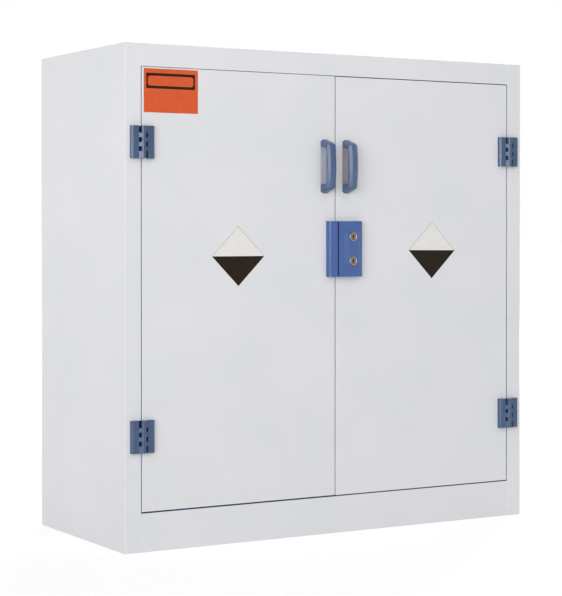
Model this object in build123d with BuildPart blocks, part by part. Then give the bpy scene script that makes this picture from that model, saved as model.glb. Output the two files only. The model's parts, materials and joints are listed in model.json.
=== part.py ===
from build123d import *
import math
import os

# Two-door plastic cabinet for corrosive reagents. Millimetres, +Z up, the doors face -Y.
# The origin is the centre of the body's footprint, on the floor.

# ---------------------------------------------------------------- driving dimensions
width = 1090
depth = 460
height = 1120
sheet = 8  # carcass and door sheet
stile_width = 40
top_rail_height = 50
bottom_rail_height = 85.5
rib_height = 28  # the floor panel stands on ribs, and the bottom rail rises above it as a spill sill
rib_thickness = 12
rib_spacing = 268
corner_radius = 1.5  # welded corner between a side and its stile
edge_radius = 1.5
seam_chamfer = 0.9  # each side of the groove where a rail meets a stile

door_thickness = 26
door_edge_chamfer = 0.8
liner_wall = 5
liner_margin = 3  # the liner pan stays this far inside the door's edges
liner_corner = 8
liner_bevel = 4
side_gap = 2.2  # between a stile and a door
centre_gap = 3
left_top_gap = 1.3  # the left door hangs a little higher than the right one
right_top_gap = 2
door_height = 980

strip = 0.6  # blue strip that lines the opening
strip_setback = 1  # its front edge, behind the face
stop_leg = 14  # the strip's inner leg, which stops the door
stop_thickness = 3
stop_play = 1

hinge_height = 72
hinge_reach = 28.3  # from the pin's axis to a leaf's outer edge
hinge_centres = {"upper": 902.5, "lower": 255.5}
hinge_screw_rise = 18
axis_out = 10.5  # the pin's axis stands this far in front of the doors
leaf_thickness = 10
leaf_inner = 11  # a leaf's inner edge, clear of the other leaf's knuckles
leaf_bevel = 3.5
leaf_skin = 2  # left in front of a leaf's screw holes
barrel_radius = 6
knuckle_heights = (16, 10, 10, 10, 10, 16)
knuckle_play = 0.5
web_clearance = 0.5  # behind the knuckles, so that they pass the frame as the door turns
pin_radius = 3
pin_play = 0.05
pin_sides = 12
pin_setback = 1  # at each end of the hinge

handle_x = {-1: -29, 1: 31}  # middle of each handle, on the left and the right door
handle_z = 857.5
handle_height = 126
handle_width = 23.5
handle_reach = 35
handle_slope = 10  # each end slopes in by this much on its way out from the door
handle_bow = 4.5  # the grip's front is arched by this much
handle_grip = 9.5
handle_window = 88  # height of the finger gap
handle_window_rise = 2
handle_corner = 6
handle_knee = 5
handle_bevel_depth = 4
handle_bevel_across = 6.4
handle_screw_inset = 10

lock_z = 665
lock_height = 130
lock_out = 16
keeper_left = -25.7
keeper_right = -3.8
keeper_corner = 5
case_left = 0
case_right = 65
case_corner = 2
hump_left = 14
hump_right = 62
hump_left_rise = 36  # half height of the hump's foot at its left and right ends
hump_right_rise = 51
plateau_left = 26
plateau_right = 48.5
plateau_rise = 33
plateau_out = 21.5
key_x = 36.5
key_offset = 28.3  # each key cylinder above or below the lock's middle
cylinder_radius = 10.5
cylinder_out = 22.5
cylinder_rim = 1.6
cylinder_rim_chamfer = 0.8
dish_depth = 2.4
plug_radius = 6
plug_setback = 2
keyway_radius = 2.4
keyway_width = 1.6
keyway_height = 8
keyway_depth = 6
bolt_height = 16
bolt_thickness = 7
bolt_travel = 9
bolt_play = 0.2
bolt_tail = 11  # past the key's axis
bolt_bevel = 0.8
drive_pin_radius = 1.5
drive_disc = 2.2
drive_gap = 0.5  # between the bolt and the plug's disc
disc_rim = 0.5  # outside the drive pin
disc_room = 0.5  # round the disc
bolt_end_room = 1  # behind the bolt's tail, and past its tip in the keeper
notch_low = 1  # floor of the bolt's notch, above the key's axis
notch_play = 0.55
socket_play = 0.8
lock_screw_inset = 8
case_screw_x = 15

shelf_z = 560  # underside of the shelf tray
shelf_lip = 32
shelf_wall = 5
shelf_corner = 6
shelf_bevel = 3
shelf_play = 2  # between the tray and the slotted strips
shelf_room = 8  # in front of and behind the tray
shelf_strip_width = 30
shelf_strip_thickness = 6
shelf_strip_low = 136
shelf_strip_high = 1052
shelf_strip_y = {"front": -150, "rear": 180}
slot_pitch = 100
slots_each_way = 4  # above and below the slot in use
slot_width = 8
slot_height = 14
slot_drop = 8  # its middle, under the tray
clip_width = 20
clip_reach = 24
clip_height = 26
clip_ledge = 5
tang_play = 0.4
stiffener_height = 24
stiffener_thickness = 10
stiffener_y = (-95, 125)
stiffener_end = 40  # clear of the side walls

screw_radius = 2
screw_play = 0.05
screw_sides = 6
screw_head_radius = 4.5
screw_head = 3
hinge_screw_bite = 6
handle_screw_bite = 10
lock_screw_bite = 8
screw_hole_spare = 2  # a blind hole is this much deeper than its screw

# ---------------------------------------------------------------- places worked out from them
front = -depth / 2
back = depth / 2
flange_back = front + sheet
back_inner = back - sheet
side_inner = width / 2 - sheet
opening_x = width / 2 - stile_width
opening_top = height - top_rail_height
opening_bottom = bottom_rail_height
floor_top = rib_height + sheet
ceiling = height - sheet
door_back = front + door_thickness
stop_front = door_back + stop_play
stop_back = stop_front + stop_thickness
door_edge = opening_x - side_gap
meeting_edge = centre_gap / 2
axis_x = opening_x - side_gap / 2  # of the hinge pins, right of the middle and left of it
axis_y = front - axis_out
loose_bore = (pin_radius + pin_play) / math.cos(math.pi / pin_sides)
door_top = {-1: opening_top - left_top_gap, 1: opening_top - right_top_gap}
side_name = {-1: "left", 1: "right"}
key_z = {"upper": lock_z + key_offset, "lower": lock_z - key_offset}
drive_radius = bolt_travel / math.sqrt(2)  # of the drive pin's path, a quarter turn
disc_radius = drive_radius + drive_pin_radius + disc_rim


def facing(y):
    """Plane across the cabinet at depth y, seen from the doors: local x is X, local y is Z."""
    return Plane.XZ.offset(-y)


def save(part, name):
    """Label a finished piece and write it as one node."""
    part.label = name
    export_step(part, f"parts/{name}.step")


def hinge_points(side):
    """Screw places of a hinge leaf's two screws, on the stile (outer) or the door (inner)."""
    middle = (leaf_inner + hinge_reach) / 2
    return [
        (side * axis_x + leaf * middle, z + dz)
        for leaf in (-1, 1)
        for z in hinge_centres.values()
        for dz in (-hinge_screw_rise, hinge_screw_rise)
    ]


def stile_points(side):
    """Those of the hinge screws that go through a stile."""
    return [(x, z) for x, z in hinge_points(side) if abs(x) > axis_x]


def door_points(side):
    """Those of the hinge screws that go through a door."""
    return [(x, z) for x, z in hinge_points(side) if abs(x) < axis_x]


def handle_points(side):
    """The two screws of a handle, one in each foot."""
    foot = handle_height / 2 - handle_screw_inset
    return [(handle_x[side], handle_z - foot), (handle_x[side], handle_z + foot)]


def lock_points(side):
    """Screws that hold the keeper (left door) or the lock case (right door)."""
    rise = lock_height / 2 - lock_screw_inset
    columns = (keeper_left + lock_screw_inset,) if side < 0 else (case_screw_x, case_right - lock_screw_inset)
    return [(x, lock_z + dz) for x in columns for dz in (-rise, rise)]


# ---------------------------------------------------------------- carcass
def side_panel(side):
    """Outer wall behind the stile, its outer top and rear edges eased."""
    with BuildPart() as panel:
        with BuildSketch(Plane.XY):
            with Locations((side * (side_inner + sheet / 2), (flange_back + back) / 2)):
                Rectangle(sheet, back - flange_back)
        extrude(amount=height)
        outer = panel.faces().sort_by(Axis.X)[-1 if side > 0 else 0].edges()
        top = outer.sort_by(Axis.Z)[-1]
        rear = outer.sort_by(Axis.Y)[-1]
        fillet([top, rear], edge_radius)
    return panel.part


def front_stile(side):
    """Face of the door frame, with a return leg behind it that lines the opening."""
    outer, inner = side * width / 2, side * opening_x
    with BuildPart() as stile:
        with BuildSketch(Plane.XY):
            with Locations(((outer + inner) / 2, (front + flange_back) / 2)):
                Rectangle(stile_width, sheet)
        extrude(amount=height)
        uprights = stile.faces().sort_by(Axis.Y)[0].edges().filter_by(Axis.Z).sort_by(Axis.X)
        corner, groove = (uprights[-1], uprights[0]) if side > 0 else (uprights[0], uprights[-1])
        chamfer(groove, seam_chamfer)
        fillet(corner, corner_radius)
        rim = stile.faces().sort_by(Axis.Z)[-1].edges()
        outside = rim.filter_by(lambda edge: edge.center().Y < flange_back - 0.1)
        fillet(outside.filter_by(lambda edge: abs(edge.center().X) > opening_x + seam_chamfer), edge_radius)
        with BuildSketch(Plane.XY.offset(floor_top)):
            with Locations((inner + side * sheet / 2, (flange_back + stop_back) / 2)):
                Rectangle(sheet, stop_back - flange_back)
        extrude(amount=ceiling - floor_top)
        with BuildSketch(facing(flange_back)):
            with Locations(*stile_points(side)):
                RegularPolygon(screw_radius + screw_play, screw_sides)
        extrude(amount=sheet, mode=Mode.SUBTRACT)
    return stile.part


def rail(face_low, face_high, leg_low):
    """Cross member between the stiles: a face and a return leg that lines the opening."""
    with BuildPart() as member:
        with BuildSketch(Plane.YZ.offset(-opening_x)):
            with Locations(((front + flange_back) / 2, (face_low + face_high) / 2)):
                Rectangle(sheet, face_high - face_low)
            with Locations(((front + stop_back) / 2, leg_low + sheet / 2)):
                Rectangle(stop_back - front, sheet)
        extrude(amount=2 * opening_x)
        ends = member.faces().sort_by(Axis.Y)[0].edges().filter_by(Axis.Z)
        chamfer(ends, seam_chamfer)
        if face_high == height:
            fillet(member.edges().filter_by(Axis.X).group_by(Axis.Z)[-1].sort_by(Axis.Y)[0], edge_radius)
    return member.part


def slab(x_size, y_range, z_range, x_middle=0):
    """Flat panel or rib with square edges."""
    with BuildPart() as panel:
        with BuildSketch(Plane.XY.offset(z_range[0])):
            with Locations((x_middle, sum(y_range) / 2)):
                Rectangle(x_size, y_range[1] - y_range[0])
        extrude(amount=z_range[1] - z_range[0])
    return panel.part


def stop_outline(edge, inward):
    """Section of the blue strip as (across, depth) points: thin lining leg, thick stopping leg."""
    lining = edge + inward * strip
    tip = edge + inward * stop_leg
    return [
        (edge, front + strip_setback),
        (edge, stop_back),
        (tip, stop_back),
        (tip, stop_front),
        (lining, stop_front),
        (lining, front + strip_setback),
    ]


def level_stop(z_edge, up):
    """Blue strip along the top (up = 1) or the bottom (up = -1) of the opening, mitred."""
    with BuildPart() as stop:
        with BuildSketch(Plane.YZ.offset(-opening_x)):
            with BuildLine():
                Polyline([(y, z) for z, y in stop_outline(z_edge, -up)], close=True)
            make_face()
        extrude(amount=2 * opening_x)
        for side in (-1, 1):
            mitre = Plane(origin=(side * opening_x, 0, z_edge), z_dir=(-side, 0, up))
            split(bisect_by=mitre, keep=Keep.TOP)
    return stop.part


def upright_stop(side):
    """Blue strip up the left or right of the opening, mitred to the level ones."""
    with BuildPart() as stop:
        with BuildSketch(Plane.XY.offset(opening_bottom)):
            with BuildLine():
                Polyline(stop_outline(side * opening_x, -side), close=True)
            make_face()
        extrude(amount=opening_top - opening_bottom)
        for z_edge, up in ((opening_bottom, -1), (opening_top, 1)):
            mitre = Plane(origin=(side * opening_x, 0, z_edge), z_dir=(side, 0, -up))
            split(bisect_by=mitre, keep=Keep.TOP)
    return stop.part


# ---------------------------------------------------------------- hinges
def knuckle_spans(z_middle, first):
    """Heights of every second knuckle, counted from the top: first is 0 or 1."""
    spans = []
    top = z_middle + hinge_height / 2
    for number, tall in enumerate(knuckle_heights):
        if number % 2 == first:
            spans.append((top - tall + knuckle_play / 2, top - knuckle_play / 2))
        top -= tall
    return spans


def hinge_leaf(pin_x, z_middle, leaf, bore):
    """Moulded leaf on the left (leaf = -1) or right (leaf = 1) of the pin, with three knuckles.

    The right-hand leaf carries the first, third and fifth knuckle from the top. A ramp rises from
    the leaf's inner edge to the front of each knuckle.
    """
    inner, outer = pin_x + leaf * leaf_inner, pin_x + leaf * hinge_reach
    leaf_front = front - leaf_thickness
    ramp_angle = math.acos(barrel_radius / leaf_inner)
    ramp_top = (
        pin_x + leaf * barrel_radius * math.cos(ramp_angle),
        axis_y - barrel_radius * math.sin(ramp_angle),
    )
    with BuildPart() as part:
        with BuildSketch(Plane.XY.offset(z_middle - hinge_height / 2)):
            with Locations(((inner + outer) / 2, (front + leaf_front) / 2)):
                Rectangle(hinge_reach - leaf_inner, leaf_thickness)
        extrude(amount=hinge_height)
        arris = part.faces().sort_by(Axis.Y)[0].edges().sort_by(Axis.X)[-1 if leaf > 0 else 0]
        chamfer(arris, leaf_bevel)
        for low, high in knuckle_spans(z_middle, 0 if leaf > 0 else 1):
            with BuildSketch(Plane.XY.offset(low)):
                with BuildLine():
                    Polyline(
                        (pin_x, axis_y),
                        ramp_top,
                        (inner, leaf_front),
                        (inner, front - web_clearance),
                        (pin_x, axis_y + barrel_radius - web_clearance),
                        close=True,
                    )
                make_face()
                with Locations((pin_x, axis_y)):
                    Circle(barrel_radius)
            extrude(amount=high - low)
        with BuildSketch(Plane.XY.offset(z_middle - hinge_height / 2)):
            with Locations((pin_x, axis_y)):
                RegularPolygon(bore, pin_sides)
        extrude(amount=hinge_height, mode=Mode.SUBTRACT)
        with BuildSketch(facing(front)):
            with Locations(((inner + outer) / 2, z_middle)):
                with GridLocations(1, 2 * hinge_screw_rise, 1, 2):
                    RegularPolygon(screw_radius + screw_play, screw_sides)
        extrude(amount=leaf_thickness - leaf_skin, mode=Mode.SUBTRACT)
    return part.part


def hinge_pin(pin_x, z_middle):
    """Hinge pin, its ends just inside the outer knuckles."""
    with BuildPart() as pin:
        with BuildSketch(Plane.XY.offset(z_middle - hinge_height / 2 + pin_setback)):
            with Locations((pin_x, axis_y)):
                RegularPolygon(pin_radius, pin_sides)
        extrude(amount=hinge_height - 2 * pin_setback)
    return pin.part


def screws(points, head_y, shank):
    """Screws driven from behind towards the front, one solid each."""
    with BuildPart() as group:
        with BuildSketch(facing(head_y)):
            with Locations(*points):
                RegularPolygon(screw_radius, screw_sides)
        extrude(amount=shank)
        with BuildSketch(facing(head_y + screw_head)):
            with Locations(*points):
                RegularPolygon(screw_head_radius, screw_sides)
        extrude(amount=screw_head)
    return group.part


# ---------------------------------------------------------------- doors
def door_panel(side):
    """Outer sheet of a door, with eased front edges and the screw holes of what it carries."""
    top = door_top[side]
    points = door_points(side) + handle_points(side) + lock_points(side)
    with BuildPart() as panel:
        with BuildSketch(facing(flange_back)):
            with Locations((side * (door_edge + meeting_edge) / 2, top - door_height / 2)):
                Rectangle(door_edge - meeting_edge, door_height)
        extrude(amount=sheet)
        chamfer(panel.faces().sort_by(Axis.Y)[0].edges(), door_edge_chamfer)
        with BuildSketch(facing(flange_back)):
            with Locations(*points):
                RegularPolygon(screw_radius + screw_play, screw_sides)
        extrude(amount=sheet, mode=Mode.SUBTRACT)
    return panel.part


def door_liner(side):
    """Folded pan welded to the back of the outer sheet, open towards it."""
    top = door_top[side]
    with BuildPart() as pan:
        with BuildSketch(facing(door_back)):
            with Locations((side * (door_edge + meeting_edge) / 2, top - door_height / 2)):
                Rectangle(door_edge - meeting_edge - 2 * liner_margin, door_height - 2 * liner_margin)
        extrude(amount=door_thickness - sheet)
        chamfer(pan.edges().filter_by(Axis.Y), liner_corner)
        chamfer(pan.faces().sort_by(Axis.Y)[-1].edges(), liner_bevel)
        offset(amount=-liner_wall, openings=pan.faces().sort_by(Axis.Y)[0])
    return pan.part


def handle(side):
    """Bow handle that stands out from the door: two sloping feet and an arched, bevelled grip."""
    half = handle_height / 2
    tip = front - handle_reach
    shoulder = tip + handle_bow
    rise = half - handle_slope
    inside = tip + handle_grip
    window_low = handle_z + handle_window_rise - handle_window / 2
    window_high = window_low + handle_window
    with BuildPart() as bow:
        with BuildSketch(Plane.YZ.offset(handle_x[side] - handle_width / 2)):
            with BuildLine():
                Polyline(
                    (shoulder, handle_z + rise),
                    (front, handle_z + half),
                    (front, handle_z - half),
                    (shoulder, handle_z - rise),
                )
                ThreePointArc((shoulder, handle_z - rise), (tip, handle_z), (shoulder, handle_z + rise))
            make_face()
            with Locations(((inside + front) / 2, (window_low + window_high) / 2)):
                Rectangle(front - inside, handle_window, mode=Mode.SUBTRACT)
        extrude(amount=handle_width)
        across = bow.edges().filter_by(Axis.X)
        fillet(across.filter_by(lambda edge: edge.center().Y < shoulder + 1), handle_corner)
        fillet(across.filter_by(lambda edge: abs(edge.center().Y - inside) < 1), handle_knee)
        for end in (0, -1):
            flank = bow.faces().filter_by(Axis.X).sort_by(Axis.X)[end]
            rims = flank.edges().filter_by(
                lambda edge: edge.center().Y < inside - 2
                or (edge.center().Y < front - 1 and abs(edge.center().Z - handle_z) > rise)
            )
            chamfer(rims, handle_bevel_depth, handle_bevel_across, reference=flank)
        with BuildSketch(facing(front)):
            with Locations(*handle_points(side)):
                RegularPolygon(screw_radius + screw_play, screw_sides)
        extrude(amount=handle_screw_bite + screw_hole_spare, mode=Mode.SUBTRACT)
    return bow.part


# ---------------------------------------------------------------- lock
def lock_keeper():
    """Block on the left door, with a socket for each bolt."""
    socket_depth = bolt_travel - (case_left - keeper_right) + bolt_end_room
    with BuildPart() as keeper:
        with BuildSketch(facing(front)):
            with Locations(((keeper_left + keeper_right) / 2, lock_z)):
                Rectangle(keeper_right - keeper_left, lock_height)
        extrude(amount=lock_out)
        front_edges = keeper.faces().sort_by(Axis.Y)[0].edges()
        fillet(front_edges.sort_by(Axis.X)[0], keeper_corner)
        with BuildSketch(facing(front)):
            for z in key_z.values():
                with Locations((keeper_right - socket_depth / 2, z)):
                    Rectangle(socket_depth, bolt_height + 2 * socket_play)
        extrude(amount=bolt_thickness + socket_play, mode=Mode.SUBTRACT)
        with BuildSketch(facing(front)):
            with Locations(*lock_points(-1)):
                RegularPolygon(screw_radius + screw_play, screw_sides)
        extrude(amount=lock_screw_bite + screw_hole_spare, mode=Mode.SUBTRACT)
    return keeper.part


def lock_case():
    """Block on the right door: a raised, sloping hump for the key cylinders, and bolt channels."""
    channel_depth = bolt_thickness + bolt_play
    channel_end = key_x + bolt_tail + bolt_end_room
    seat = front - channel_depth - drive_disc - drive_gap
    with BuildPart() as case:
        with BuildSketch(facing(front)):
            with Locations(((case_left + case_right) / 2, lock_z)):
                Rectangle(case_right - case_left, lock_height)
        extrude(amount=lock_out)
        front_edges = case.faces().sort_by(Axis.Y)[0].edges()
        fillet(front_edges.sort_by(Axis.X)[-1], case_corner)
        with BuildSketch(facing(front - lock_out)):
            with BuildLine():
                Polyline(
                    (hump_left, lock_z - hump_left_rise),
                    (hump_right, lock_z - hump_right_rise),
                    (hump_right, lock_z + hump_right_rise),
                    (hump_left, lock_z + hump_left_rise),
                    close=True,
                )
            make_face()
        with BuildSketch(facing(front - plateau_out)):
            with Locations(((plateau_left + plateau_right) / 2, lock_z)):
                Rectangle(plateau_right - plateau_left, 2 * plateau_rise)
        loft()
        with BuildSketch(facing(seat)):
            with Locations(*[(key_x, z) for z in key_z.values()]):
                Circle(cylinder_radius)
        extrude(amount=cylinder_out, mode=Mode.SUBTRACT)
        with BuildSketch(facing(front)):
            with Locations(*[(key_x, z) for z in key_z.values()]):
                Circle(disc_radius + disc_room)
        extrude(amount=front - seat, mode=Mode.SUBTRACT)
        with BuildSketch(facing(front)):
            with Locations(*[((case_left + channel_end) / 2, z) for z in key_z.values()]):
                Rectangle(channel_end - case_left, bolt_height + 2 * bolt_play)
        extrude(amount=channel_depth, mode=Mode.SUBTRACT)
        with BuildSketch(facing(front)):
            with Locations(*lock_points(1)):
                RegularPolygon(screw_radius + screw_play, screw_sides)
        extrude(amount=lock_screw_bite + screw_hole_spare, mode=Mode.SUBTRACT)
    return case.part


def cylinder_body(z):
    """Brass body of a key cylinder: a turned tube with a dished rim."""
    seat = front - bolt_thickness - bolt_play - drive_disc - drive_gap
    face = front - cylinder_out
    outside = key_x + cylinder_radius
    bore = key_x + plug_radius + pin_play
    with BuildPart() as body:
        with BuildSketch(Plane.XY.offset(z)):
            with BuildLine():
                Polyline(
                    (bore, seat),
                    (outside, seat),
                    (outside, face + cylinder_rim_chamfer),
                    (outside - cylinder_rim_chamfer, face),
                    (outside - cylinder_rim_chamfer - cylinder_rim, face),
                    (bore, face + dish_depth),
                    close=True,
                )
            make_face()
        revolve(axis=Axis((key_x, 0, z), (0, 1, 0)))
    return body.part


def key_plug(z):
    """Plug with a keyway in front, and at its tail a disc with the pin that drives the bolt."""
    disc_back = front - bolt_thickness - drive_gap
    disc_front = disc_back - drive_disc
    face = front - cylinder_out + plug_setback
    start = bolt_travel / 2  # the drive pin starts this far right of the axis, and above it
    pin_length = bolt_thickness - drive_gap
    with BuildPart() as plug:
        with BuildSketch(facing(disc_back)):
            with Locations((key_x, z)):
                Circle(disc_radius)
        extrude(amount=drive_disc)
        with BuildSketch(facing(disc_front)):
            with Locations((key_x, z)):
                Circle(plug_radius)
        extrude(amount=disc_front - face)
        with BuildSketch(facing(disc_back + pin_length)):
            with Locations((key_x + start, z + start)):
                Circle(drive_pin_radius)
        extrude(amount=pin_length)
        with BuildSketch(facing(face)):
            with Locations((key_x, z)):
                Circle(keyway_radius)
                Rectangle(keyway_width, keyway_height)
        extrude(amount=-keyway_depth, mode=Mode.SUBTRACT)
    return plug.part


def lock_bolt(z):
    """Flat sliding bolt, drawn back, with an open notch for the plug's drive pin."""
    tip = case_left + drive_gap
    tail = key_x + bolt_tail
    notch_height = bolt_height / 2 - notch_low
    with BuildPart() as bolt:
        with BuildSketch(facing(front - bolt_play)):
            with Locations(((tip + tail) / 2, z)):
                Rectangle(tail - tip, bolt_height)
            with Locations((key_x + bolt_travel / 2, z + (bolt_height - notch_height) / 2)):
                Rectangle(2 * (drive_pin_radius + notch_play), notch_height, mode=Mode.SUBTRACT)
        extrude(amount=bolt_thickness - bolt_play)
        chamfer(bolt.faces().sort_by(Axis.X)[0].edges(), bolt_bevel)
    return bolt.part


# ---------------------------------------------------------------- shelf
def shelf_strip(side, y):
    """Slotted strip on a side wall, for the shelf clips."""
    steps = range(-slots_each_way, slots_each_way + 1)
    with BuildPart() as upright:
        with BuildSketch(Plane.YZ.offset(side * side_inner)):
            with Locations((y, (shelf_strip_low + shelf_strip_high) / 2)):
                Rectangle(shelf_strip_width, shelf_strip_high - shelf_strip_low)
            with Locations(*[(y, shelf_z - slot_drop + step * slot_pitch) for step in steps]):
                Rectangle(slot_width, slot_height, mode=Mode.SUBTRACT)
        extrude(amount=-side * shelf_strip_thickness)
    return upright.part


def shelf_clips():
    """Four clips, each with a tang in a slot and a braced ledge under the shelf."""
    with BuildPart() as clips:
        for side in side_name:
            wall = side * (side_inner - shelf_strip_thickness)
            for y in shelf_strip_y.values():
                with BuildSketch(facing(y + clip_width / 2)):
                    with BuildLine():
                        Polyline(
                            (wall, shelf_z),
                            (wall - side * clip_reach, shelf_z),
                            (wall - side * clip_reach, shelf_z - clip_ledge),
                            (wall - side * clip_ledge, shelf_z - clip_height),
                            (wall, shelf_z - clip_height),
                            close=True,
                        )
                    make_face()
                extrude(amount=clip_width)
                with BuildSketch(Plane.YZ.offset(wall)):
                    with Locations((y, shelf_z - slot_drop)):
                        Rectangle(slot_width - tang_play, slot_height - tang_play)
                extrude(amount=side * (shelf_strip_thickness - tang_play))
    return clips.part


def shelf_stiffeners():
    """Two strips on edge, welded under the shelf."""
    with BuildPart() as stiffeners:
        with BuildSketch(Plane.XY.offset(shelf_z)):
            with Locations(*[(0, y) for y in stiffener_y]):
                Rectangle(2 * (side_inner - stiffener_end), stiffener_thickness)
        extrude(amount=-stiffener_height)
    return stiffeners.part


def shelf_tray():
    """Shelf with raised lips all round that hold a spill."""
    x_size = 2 * (side_inner - shelf_strip_thickness - shelf_play)
    y_low, y_high = stop_back + shelf_room, back_inner - shelf_room
    with BuildPart() as tray:
        with BuildSketch(Plane.XY.offset(shelf_z)):
            with Locations((0, (y_low + y_high) / 2)):
                Rectangle(x_size, y_high - y_low)
        extrude(amount=shelf_lip)
        chamfer(tray.edges().filter_by(Axis.Z), shelf_corner)
        chamfer(tray.faces().sort_by(Axis.Z)[0].edges(), shelf_bevel)
        offset(amount=-shelf_wall, openings=tray.faces().sort_by(Axis.Z)[-1], kind=Kind.INTERSECTION)
    return tray.part


# ---------------------------------------------------------------- write every piece
os.makedirs("parts", exist_ok=True)

save(slab(2 * side_inner, (flange_back, back_inner), (ceiling, height)), "top_panel")
save(slab(2 * side_inner, (flange_back, back_inner), (rib_height, floor_top)), "floor_panel")
save(slab(2 * side_inner, (back_inner, back), (0, height)), "back_panel")
for rib, name in ((-1, "left"), (0, "middle"), (1, "right")):
    rib_part = slab(rib_thickness, (flange_back, back_inner), (0, rib_height), rib * rib_spacing)
    save(rib_part, f"base_rib_{name}")
save(rail(opening_top, height, opening_top), "top_rail")
save(rail(0, opening_bottom, opening_bottom - sheet), "bottom_rail")
save(level_stop(opening_top, 1), "door_stop_top")
save(level_stop(opening_bottom, -1), "door_stop_bottom")

for side, hand in side_name.items():
    save(side_panel(side), f"{hand}_side_panel")
    save(front_stile(side), f"{hand}_stile")
    save(upright_stop(side), f"door_stop_{hand}")
    save(screws(stile_points(side), flange_back, sheet + hinge_screw_bite), f"{hand}_stile_hinge_screws")
    save(door_panel(side), f"{hand}_door_panel")
    save(door_liner(side), f"{hand}_door_liner")
    save(handle(side), f"{hand}_handle")
    save(screws(door_points(side), flange_back, sheet + hinge_screw_bite), f"{hand}_door_hinge_screws")
    save(screws(handle_points(side), flange_back, sheet + handle_screw_bite), f"{hand}_handle_screws")
    for level, z in hinge_centres.items():
        on_door = -side  # the leaf on the door's side of the pin
        pin_x = side * axis_x
        save(hinge_leaf(pin_x, z, side, pin_radius), f"{hand}_{level}_hinge_frame_leaf")
        save(hinge_leaf(pin_x, z, on_door, loose_bore), f"{hand}_{level}_hinge_door_leaf")
        save(hinge_pin(pin_x, z), f"{hand}_{level}_hinge_pin")
    for place, y in shelf_strip_y.items():
        save(shelf_strip(side, y), f"shelf_strip_{hand}_{place}")

save(lock_keeper(), "lock_keeper")
save(lock_case(), "lock_case")
save(screws(lock_points(-1), flange_back, sheet + lock_screw_bite), "keeper_screws")
save(screws(lock_points(1), flange_back, sheet + lock_screw_bite), "lock_case_screws")
for level, z in key_z.items():
    save(cylinder_body(z), f"{level}_cylinder_body")
    save(key_plug(z), f"{level}_key_plug")
    save(lock_bolt(z), f"{level}_lock_bolt")

save(shelf_tray(), "shelf_tray")
save(shelf_stiffeners(), "shelf_stiffeners")
save(shelf_clips(), "shelf_clips")
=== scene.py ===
"""Looks of the plastic acid cabinet: materials, bare signs, thin trim, plates of painted shade,
camera, light and floor.

Metres, in the part's frame: +Z up, the doors face -Y, +X to the right as seen from the doors.
"""

import json
import math
from typing import NamedTuple

import bmesh
import bpy
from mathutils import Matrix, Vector


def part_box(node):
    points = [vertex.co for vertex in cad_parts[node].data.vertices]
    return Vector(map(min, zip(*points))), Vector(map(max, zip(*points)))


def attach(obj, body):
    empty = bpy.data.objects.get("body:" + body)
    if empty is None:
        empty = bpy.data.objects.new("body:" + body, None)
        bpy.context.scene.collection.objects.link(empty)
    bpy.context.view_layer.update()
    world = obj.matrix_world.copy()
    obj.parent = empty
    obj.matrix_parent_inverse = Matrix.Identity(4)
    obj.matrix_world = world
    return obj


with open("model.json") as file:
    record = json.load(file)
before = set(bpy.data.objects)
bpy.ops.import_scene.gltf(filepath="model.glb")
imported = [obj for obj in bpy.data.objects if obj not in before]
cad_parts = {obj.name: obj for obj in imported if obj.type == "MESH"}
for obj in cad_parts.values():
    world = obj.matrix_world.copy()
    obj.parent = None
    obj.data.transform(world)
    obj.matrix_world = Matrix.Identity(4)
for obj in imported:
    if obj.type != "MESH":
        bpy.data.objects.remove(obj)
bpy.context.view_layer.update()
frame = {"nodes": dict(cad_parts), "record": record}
nodes = frame["nodes"]

MM = 0.001
HANDS = ("left", "right")
LEVELS = ("upper", "lower")

# ---------------------------------------------------------------- camera, light and floor
# The camera is solved from the cabinet's corners. In the photograph the uprights stand almost
# parallel while the horizon lies above the middle, which takes a small vertical shift.
CAMERA_PLACE = (-2.24474, -3.76891, 0.71341)
CAMERA_YAW = 0.53487  # radians, from +Y towards +X
CAMERA_PITCH = -0.00659  # radians, slightly down
CAMERA_LENS = 108.152  # mm, for a 36 mm sensor along the picture's longer side
CAMERA_SHIFT = -0.09732
CAMERA_REACH = 200

LAMP_AIM = (0, 0, 0.6)
LAMPS = (  # name, place, size, watts
    ("left_front", (-6.6, -6.1, 1.9), (6.6, 4.4), 455),  # main light, mirrored by the bevels
    ("left_rear", (-4.6, 8.0, 1.25), (4, 2.4), 40),
    ("above_front", (0, -7, 7), (4, 4), 100),
    ("right_rear", (5.5, 6.5, 6.5), (5, 5), 330),
)
AMBIENT = 0.47  # strength of the world for the rays that light the object
BACKGROUND = 1.0  # and for the rays that show it

FLOOR_HALF = 60
FLOOR_DROP = 0.2 * MM
FLOOR_GREY = 0.82
GLOW_REACH = (1.2, 7)  # the floor's glow grows between these distances from the origin,
GLOW_STRENGTH = (0.4, 0.68)  # from the first strength to the second

# ---------------------------------------------------------------- signs, trim and painted shade
FILM_THICKNESS = 0.35 * MM
LAYER_STEP = 0.04 * MM  # each field of a sign stands this far in front of the one before
CORNER_STEPS = 5

DIAMOND_HALF = 68 * MM  # half of the diagonal of a diamond's thin line
DIAMOND_RIM = 2.2 * MM  # white margin outside that line
DIAMOND_LINE = 0.7 * MM
DIAMONDS = (  # hand, centre (x, z), tilt
    ("left", (-260.5 * MM, 650 * MM), 0),
    ("right", (275.5 * MM, 660.3 * MM), math.radians(-0.5)),
)

ORANGE_X = (-498.5 * MM, -364 * MM)
ORANGE_Z = (968.5 * MM, 1065.5 * MM)
ORANGE_CORNER = 1 * MM

PAD_Z = (816 * MM, 903 * MM)
PAD_RIM_X, PAD_RIM_Z = 1.2 * MM, 1 * MM
PAD_CORNER = 0.8 * MM

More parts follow.
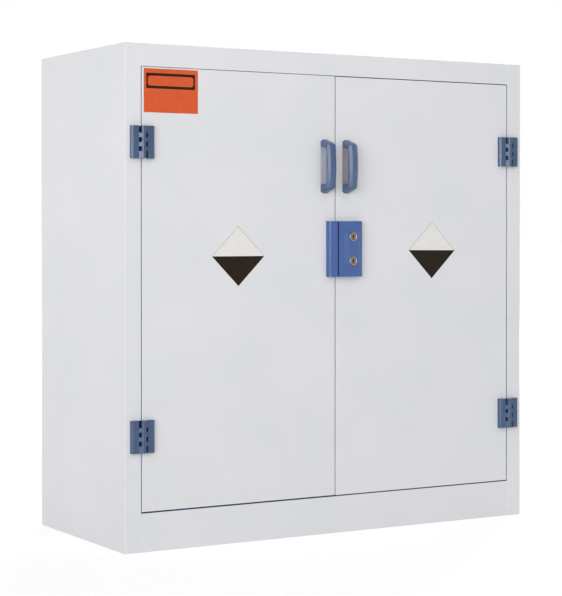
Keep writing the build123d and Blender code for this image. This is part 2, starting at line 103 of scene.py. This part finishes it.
# Dark plates under the hinge knuckles: painted shade of the deep notches between the knuckles.
NOTCH_SHADE_THICKNESS = 0.25 * MM
NOTCH_SHADE_X = (1.4 * MM, 12 * MM)  # distance of the two edges of a shade plate from the hinge pin
NOTCH_SHADE_RIM_X = 1 * MM
NOTCH_SHADE_END, NOTCH_SHADE_CORE_END = 0.5 * MM, 2 * MM  # how far a shade plate and its core stop short of the leaf
NOTCH_SHADE_CORNER = 0.4 * MM


class Inset(NamedTuple):
    """Field inside the orange plate: side margins, depths below its top, corner radius."""

    left: float
    right: float
    bottom: float
    top: float
    corner: float


DARK_BAND = Inset(left=6 * MM, right=7.5 * MM, bottom=44 * MM, top=10 * MM, corner=1 * MM)
EMPTY_FIELD = Inset(left=10 * MM, right=11.5 * MM, bottom=38 * MM, top=16 * MM, corner=6 * MM)


# ---------------------------------------------------------------- measures of the solids
def middle(name):
    low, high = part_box(name)
    return (Vector(low) + Vector(high)) / 2


door_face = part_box("left_door_panel")[0].y
key_x = middle("upper_cylinder_body").x
lock_z = middle("lock_case").z
key_offset = middle("upper_cylinder_body").z - lock_z  # of both cylinders, up and down


# ---------------------------------------------------------------- helpers
def placed(name, data):
    """New object in the scene."""
    thing = bpy.data.objects.new(name, data)
    bpy.context.scene.collection.objects.link(thing)
    return thing


def linear(red, green, blue):
    """Linear RGBA of a colour given as 0 to 255 screen values."""

    def channel(value):
        value /= 255
        return value / 12.92 if value <= 0.04045 else ((value + 0.055) / 1.055) ** 2.4

    return (channel(red), channel(green), channel(blue), 1)


def calculate(tree, operation, *values):
    """Output of a Math node. A value is a plain number or another node's output."""
    node = tree.nodes.new("ShaderNodeMath")
    node.operation = operation
    for socket, value in zip(node.inputs, values):
        if isinstance(value, (int, float)):
            socket.default_value = value
        else:
            tree.links.new(value, socket)
    return node.outputs[0]


def mapped(tree, factor, source, target):
    """The factor, carried from the source span to the target span."""
    node = tree.nodes.new("ShaderNodeMapRange")
    node.inputs["From Min"].default_value, node.inputs["From Max"].default_value = source
    node.inputs["To Min"].default_value, node.inputs["To Max"].default_value = target
    tree.links.new(factor, node.inputs["Value"])
    return node.outputs["Result"]


# ---------------------------------------------------------------- materials
class Grain(NamedTuple):
    """Noise in the object's own space: cells per metre, detail, stretch along the axes."""

    scale: float
    detail: float
    stretch: tuple = (1, 1, 1)


class Relief(NamedTuple):
    """Layer of bump, its height in metres."""

    grain: Grain
    height: float
    strength: float


class Skin(NamedTuple):
    """A surface apart from its colours."""

    roughness: float
    gloss: Grain
    gloss_span: tuple  # roughness at the low and the high end of the gloss noise
    relief: tuple
    mottle: Grain = None  # noise that runs between the two colours
    metallic: float = 0.0
    specular: float = 0.5


MOTTLE_SPAN = (0.35, 0.65)  # part of the mottle noise over which the colour changes
GLOSS_NOISE = (0.3, 0.7)  # part of the gloss noise over which the roughness changes
RING_WANDER = 0.12  # unevenness of the turned rings, as a part of the outer radius

# Extruded polypropylene sheet: faintly clouded, slightly wavy, with a fine leathery skin.
SHEET = Skin(
    roughness=0.42,
    specular=0.2,
    mottle=Grain(5, 4),
    gloss=Grain(60, 3),
    gloss_span=(0.38, 0.48),
    relief=(Relief(Grain(3, 1), 0.8 * MM, 0.25), Relief(Grain(900, 2), 0.03 * MM, 0.5)),
)
# Self-adhesive vinyl, with a little unevenness of ink and lay.
FILM = Skin(
    roughness=0.4,
    specular=0.4,
    mottle=Grain(180, 4),
    gloss=Grain(300, 2),
    gloss_span=(0.34, 0.46),
    relief=(Relief(Grain(120, 2), 0.05 * MM, 0.3),),
)
BLACK_FILM = FILM._replace(specular=0.12)
ZINC = Skin(
    roughness=0.35,
    metallic=1.0,
    mottle=Grain(400, 3),
    gloss=Grain(700, 2),
    gloss_span=(0.28, 0.44),
    relief=(Relief(Grain(2000, 1), 0.01 * MM, 0.5),),
)
TURNED = Skin(
    roughness=0.32,
    metallic=1.0,
    gloss=Grain(900, 2),
    gloss_span=(0.24, 0.42),
    relief=(Relief(Grain(2500, 1), 0.02 * MM, 0.5),),
)
TURNED_WANDER = Grain(900, 3)


def moulded(roughness):
    """Injection moulded polypropylene: satin, with flow marks drawn out along the height."""
    return Skin(
        roughness=roughness,
        mottle=Grain(40, 3, stretch=(1, 1, 0.4)),
        gloss=Grain(250, 3),
        gloss_span=(roughness - 0.04, roughness + 0.06),
        relief=(Relief(Grain(200, 1), 0.02 * MM, 0.06),),
    )


SATIN = moulded(0.24)


class Finish:
    """A Principled material with a skin; its colour still has to be set."""

    def __init__(self, name, skin):
        self.material = bpy.data.materials.new(name)
        self.material.use_nodes = True
        self.tree = self.material.node_tree
        self.inputs = self.tree.nodes["Principled BSDF"].inputs
        self.inputs["Roughness"].default_value = skin.roughness
        self.inputs["Metallic"].default_value = skin.metallic
        self.inputs["Specular IOR Level"].default_value = skin.specular
        self.place = self.tree.nodes.new("ShaderNodeTexCoord").outputs["Object"]
        gloss = mapped(self.tree, self.noise(skin.gloss), GLOSS_NOISE, skin.gloss_span)
        self.tree.links.new(gloss, self.inputs["Roughness"])
        self.add_relief(skin.relief)

    def noise(self, grain):
        mapping = self.tree.nodes.new("ShaderNodeMapping")
        mapping.inputs["Scale"].default_value = grain.stretch
        self.tree.links.new(self.place, mapping.inputs["Vector"])
        texture = self.tree.nodes.new("ShaderNodeTexNoise")
        texture.inputs["Scale"].default_value = grain.scale
        texture.inputs["Detail"].default_value = grain.detail
        self.tree.links.new(mapping.outputs["Vector"], texture.inputs["Vector"])
        return texture.outputs["Fac"]

    def add_relief(self, layers):
        normal = None
        for layer in layers:
            bump = self.tree.nodes.new("ShaderNodeBump")
            bump.inputs["Distance"].default_value = layer.height
            bump.inputs["Strength"].default_value = layer.strength
            self.tree.links.new(self.noise(layer.grain), bump.inputs["Height"])
            if normal is not None:
                self.tree.links.new(normal, bump.inputs["Normal"])
            normal = bump.outputs["Normal"]
        self.tree.links.new(normal, self.inputs["Normal"])

    def colour(self, factor, stops):
        """Colour that runs through the stops (position, linear colour) as the factor grows."""
        ramp = self.tree.nodes.new("ShaderNodeValToRGB")
        marks = ramp.color_ramp.elements
        for position, _ in stops[len(marks) :]:
            marks.new(position)
        for mark, (position, colour) in zip(marks, stops):
            mark.position = position
            mark.color = colour
        self.tree.links.new(factor, ramp.inputs["Fac"])
        self.tree.links.new(ramp.outputs["Color"], self.inputs["Base Color"])


def mottled(name, skin, low, high):
    """Material whose colour wanders between two screen colours."""
    finish = Finish(name, skin)
    stops = [(position, linear(*shade)) for position, shade in zip(MOTTLE_SPAN, (low, high))]
    finish.colour(finish.noise(skin.mottle), stops)
    return finish.material


def turned_metal(name, rings):
    """Metal in rings of colour about the axis of the nearer key: (radius, screen colour)."""
    finish = Finish(name, TURNED)
    tree = finish.tree
    split = tree.nodes.new("ShaderNodeSeparateXYZ")
    tree.links.new(finish.place, split.inputs["Vector"])
    across = calculate(tree, "SUBTRACT", split.outputs["X"], key_x)
    height = calculate(tree, "SUBTRACT", split.outputs["Z"], lock_z)
    along = calculate(tree, "SUBTRACT", calculate(tree, "ABSOLUTE", height), key_offset)
    squares = [calculate(tree, "MULTIPLY", side, side) for side in (across, along)]
    outer = rings[-1][0]
    radius = calculate(tree, "SQRT", calculate(tree, "ADD", *squares))
    share = calculate(tree, "DIVIDE", radius, outer)
    wander = calculate(tree, "MULTIPLY", finish.noise(TURNED_WANDER), RING_WANDER)
    stops = [(edge / outer, linear(*shade)) for edge, shade in rings]
    finish.colour(calculate(tree, "ADD", share, wander), stops)
    return finish.material


finishes = {
    "white_plastic": mottled("white_sheet", SHEET, (221, 222, 225), (225, 225, 228)),
    "white_inner_plastic": mottled("white_inner", SHEET, (222, 224, 227), (227, 228, 231)),
    "blue_plastic": mottled("lock_blue", moulded(0.2), (58, 89, 150), (63, 94, 155)),
    "blue_strip": mottled("strip_blue", moulded(0.45), (72, 98, 156), (80, 108, 168)),
    "steel": mottled("zinc_steel", ZINC, (168, 170, 174), (196, 198, 200)),
    # cylinder body: silver plated rim; the dark brown inside it and the darker outer edge are
    # painted shade of the gap round the plug and of the recess
    "brass": turned_metal(
        "plated_ring_and_shade",
        (
            (0, (60, 46, 36)),
            (6.6 * MM, (66, 52, 42)),
            (7.6 * MM, (120, 108, 98)),
            (9.2 * MM, (168, 166, 168)),
            (11.5 * MM, (84, 82, 88)),
        ),
    ),
}
# Key plug: dull brass face; near black in the middle and darker at its edge, painted shade of the
# keyhole and of the gap round the plug.
plug_brass_and_shade = turned_metal(
    "plug_brass_and_shade",
    (
        (0, (24, 10, 4)),
        (2.4 * MM, (34, 16, 6)),
        (3.6 * MM, (150, 120, 92)),
        (5.2 * MM, (158, 132, 106)),
        (7 * MM, (92, 74, 60)),
    ),
)
grip_blue = mottled("grip_blue", SATIN, (66, 88, 124), (72, 95, 132))
hinge_blue = mottled("hinge_blue", SATIN, (54, 77, 111), (60, 84, 119))
# painted shade: very dark navy that stands for the shade in the hinge notches
notch_shade_navy = mottled("notch_shade_navy", moulded(0.5), (10, 16, 42), (15, 23, 54))
film_white = mottled("film_white", FILM, (226, 223, 220), (231, 228, 226))
film_black = mottled("film_black", BLACK_FILM, (30, 21, 14), (40, 29, 21))
film_grey = mottled("film_grey", FILM, (112, 110, 110), (128, 126, 126))
film_orange = mottled("film_orange", FILM, (205, 79, 30), (213, 86, 37))
pad_films = {  # hand: rim and core; the right pair, darker and browner, is painted shade of that handle's finger gap
    "left": (
        mottled("pad_grey_rim", FILM, (174, 174, 186), (182, 182, 194)),
        mottled("pad_grey", FILM, (182, 182, 194), (188, 188, 199)),
    ),
    "right": (
        mottled("pad_painted_shade_rim", FILM, (134, 126, 130), (142, 134, 138)),
        mottled("pad_painted_shade", FILM, (160, 150, 154), (168, 158, 162)),
    ),
}
own_finishes = {"_handle": grip_blue, "_leaf": hinge_blue, "_key_plug": plug_brass_and_shade}

slot_of = {row["node"]: row["material_slot"] for row in frame["record"]["subparts"]}
for name, node in nodes.items():
    finish = finishes[slot_of[name]]
    for ending, own in own_finishes.items():
        if name.endswith(ending):
            finish = own
    node.data.materials.clear()
    node.data.materials.append(finish)


# ---------------------------------------------------------------- thin pieces on the front
def plate(name, layers, body, thickness=FILM_THICKNESS):
    """Thin plate on the plane of the doors, made of layers: (outline, material).

    Outlines are (x, z) points in metres. The first layer is the plate itself, and each of the
    others is a field a step in front of the layer before.
    """
    mesh = bpy.data.meshes.new(name)
    shape = bmesh.new()
    for index, (points, material) in enumerate(layers):
        mesh.materials.append(material)
        front = door_face - thickness - index * LAYER_STEP
        rear = door_face if index == 0 else front + LAYER_STEP
        near = [shape.verts.new((x, front, z)) for x, z in points]
        far = [shape.verts.new((x, rear, z)) for x, z in points]
        faces = [shape.faces.new(near), shape.faces.new(list(reversed(far)))]
        for i in range(len(points)):
            j = (i + 1) % len(points)
            faces.append(shape.faces.new((near[j], near[i], far[i], far[j])))
        for face in faces:
            face.material_index = index
    bmesh.ops.recalc_face_normals(shape, faces=shape.faces)
    shape.to_mesh(mesh)
    shape.free()
    piece = placed(name, mesh)
    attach(piece, body)


def rounded(x_low, x_high, z_low, z_high, radius):
    """Rectangle with rounded corners, as (x, z) points."""
    points = []
    corners = (
        (x_high, z_high, 0),
        (x_low, z_high, 90),
        (x_low, z_low, 180),
        (x_high, z_low, 270),
    )
    for x, z, start in corners:
        centre_x = x - math.copysign(radius, x - (x_low + x_high) / 2)
        centre_z = z - math.copysign(radius, z - (z_low + z_high) / 2)
        for step in range(CORNER_STEPS + 1):
            angle = math.radians(start + 90 * step / CORNER_STEPS)
            x_along, z_along = radius * math.cos(angle), radius * math.sin(angle)
            points.append((centre_x + x_along, centre_z + z_along))
    return points


def turned(points, centre, angle):
    """Points given about (0, 0), turned and moved to a centre."""
    c, s = math.cos(angle), math.sin(angle)
    return [(centre[0] + x * c - z * s, centre[1] + x * s + z * c) for x, z in points]


def diamond(hand, centre, tilt):
    """Square plate on its point: white above, black below, a thin grey line inside its rim."""

    def rhombus(size):
        return [(0, size), (-size, 0), (0, -size), (size, 0)]

    layers = [
        (rhombus(DIAMOND_HALF + DIAMOND_RIM), film_white),
        (rhombus(DIAMOND_HALF), film_grey),
        (rhombus(DIAMOND_HALF - DIAMOND_LINE * math.sqrt(2)), film_white),
        ([(-DIAMOND_HALF, 0), (0, -DIAMOND_HALF), (DIAMOND_HALF, 0)], film_black),
    ]
    layers = [(turned(points, centre, tilt), material) for points, material in layers]
    plate(f"{hand}_diamond_plate", layers, f"{hand}_door")


def orange_plate():
    """Orange plate with a dark band around an empty field."""

    def field(inset):
        left, right = ORANGE_X[0] + inset.left, ORANGE_X[1] - inset.right
        low, high = ORANGE_Z[1] - inset.bottom, ORANGE_Z[1] - inset.top
        return rounded(left, right, low, high, inset.corner)

    layers = [
        (rounded(*ORANGE_X, *ORANGE_Z, ORANGE_CORNER), film_orange),
        (field(DARK_BAND), film_black),
        (field(EMPTY_FIELD), film_orange),
    ]
    plate("orange_plate", layers, "left_door")


def handle_pad(hand):
    """Grey pad on the door behind a handle's finger gap, with a lighter core. The right handle's
    pad is darker: painted shade of its gap.
    """
    low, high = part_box(f"{hand}_handle")
    left, right = low[0], high[0]
    bottom, top = PAD_Z
    rim = rounded(left, right, bottom, top, PAD_CORNER)
    core = rounded(
        left + PAD_RIM_X, right - PAD_RIM_X, bottom + PAD_RIM_Z, top - PAD_RIM_Z, PAD_CORNER
    )
    layers = list(zip((rim, core), pad_films[hand]))
    plate(f"{hand}_handle_pad", layers, f"{hand}_door")


def hinge_notch_shade(hand, level, kind, body):
    """Thin dark plate with a raised core under the knuckles of a hinge leaf: painted shade of the
    notches.
    """
    pin = middle(f"{hand}_{level}_hinge_pin").x
    low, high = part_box(f"{hand}_{level}_hinge_{kind}_leaf")
    outward = -1 if abs(low[0] - pin) > abs(high[0] - pin) else 1
    left, right = sorted(pin + outward * distance for distance in NOTCH_SHADE_X)
    outline = rounded(left, right, low[2] + NOTCH_SHADE_END, high[2] - NOTCH_SHADE_END, NOTCH_SHADE_CORNER)
    core = rounded(
        left + NOTCH_SHADE_RIM_X,
        right - NOTCH_SHADE_RIM_X,
        low[2] + NOTCH_SHADE_CORE_END,
        high[2] - NOTCH_SHADE_CORE_END,
        NOTCH_SHADE_CORNER,
    )
    layers = [(outline, notch_shade_navy), (core, notch_shade_navy)]
    plate(f"{hand}_{level}_{kind}_flange", layers, body, NOTCH_SHADE_THICKNESS)


for hand in HANDS:
    handle_pad(hand)
    for level in LEVELS:
        hinge_notch_shade(hand, level, "frame", "root")
        hinge_notch_shade(hand, level, "door", f"{hand}_door")
for hand, centre, tilt in DIAMONDS:
    diamond(hand, centre, tilt)
orange_plate()


# ---------------------------------------------------------------- camera, light and floor
def place_camera():
    camera = placed("camera", bpy.data.cameras.new("camera"))
    camera.location = CAMERA_PLACE
    camera.rotation_euler = (math.pi / 2 + CAMERA_PITCH, 0, -CAMERA_YAW)
    camera.data.lens = CAMERA_LENS
    camera.data.shift_y = CAMERA_SHIFT
    camera.data.clip_end = CAMERA_REACH
    bpy.context.scene.camera = camera


def area_light(name, place, size, watts):
    lamp = placed(name, bpy.data.lights.new(name, "AREA"))
    lamp.location = place
    aim = Vector(LAMP_AIM) - Vector(place)
    lamp.rotation_euler = aim.to_track_quat("-Z", "Y").to_euler()
    lamp.data.shape = "RECTANGLE"
    lamp.data.size, lamp.data.size_y = size
    lamp.data.energy = watts


def seen_or_mirrored(tree):
    """1 for the rays that show the background itself: camera, glossy and transmission rays."""
    rays = tree.nodes.new("ShaderNodeLightPath").outputs
    either = calculate(tree, "MAXIMUM", rays["Is Camera Ray"], rays["Is Glossy Ray"])
    return calculate(tree, "MAXIMUM", either, rays["Is Transmission Ray"])


def studio():
    """White world that lights the object more softly than it shows."""
    world = bpy.data.worlds.new("studio")
    bpy.context.scene.world = world
    world.use_nodes = True
    tree = world.node_tree
    background = tree.nodes["Background"]
    background.inputs["Color"].default_value = (1, 1, 1, 1)
    strength = mapped(tree, seen_or_mirrored(tree), (0, 1), (AMBIENT, BACKGROUND))
    tree.links.new(strength, background.inputs["Strength"])


def floor():
    """Wide pale floor: white where it is seen, with the cabinet's shadow kept."""
    mesh = bpy.data.meshes.new("floor")
    low, high = -FLOOR_HALF, FLOOR_HALF
    corners = [(x, y, -FLOOR_DROP) for x, y in ((low, low), (high, low), (high, high), (low, high))]
    mesh.from_pydata(corners, [], [(0, 1, 2, 3)])
    ground = placed("floor", mesh)
    material = bpy.data.materials.new("floor_white")
    material.use_nodes = True
    tree = material.node_tree
    tree.nodes.clear()
    diffuse = tree.nodes.new("ShaderNodeBsdfDiffuse")
    diffuse.inputs["Color"].default_value = (FLOOR_GREY, FLOOR_GREY, FLOOR_GREY, 1)
    place = tree.nodes.new("ShaderNodeTexCoord")
    distance = tree.nodes.new("ShaderNodeVectorMath")
    distance.operation = "LENGTH"
    tree.links.new(place.outputs["Object"], distance.inputs[0])
    fade = mapped(tree, distance.outputs["Value"], GLOW_REACH, GLOW_STRENGTH)
    glow = tree.nodes.new("ShaderNodeEmission")
    lift = calculate(tree, "MULTIPLY", seen_or_mirrored(tree), fade)
    tree.links.new(lift, glow.inputs["Strength"])
    both = tree.nodes.new("ShaderNodeAddShader")
    tree.links.new(diffuse.outputs[0], both.inputs[0])
    tree.links.new(glow.outputs[0], both.inputs[1])
    output = tree.nodes.new("ShaderNodeOutputMaterial")
    tree.links.new(both.outputs[0], output.inputs["Surface"])
    mesh.materials.append(material)


place_camera()
for lamp in LAMPS:
    area_light(*lamp)
studio()
floor()
bpy.context.scene.view_settings.view_transform = "Standard"
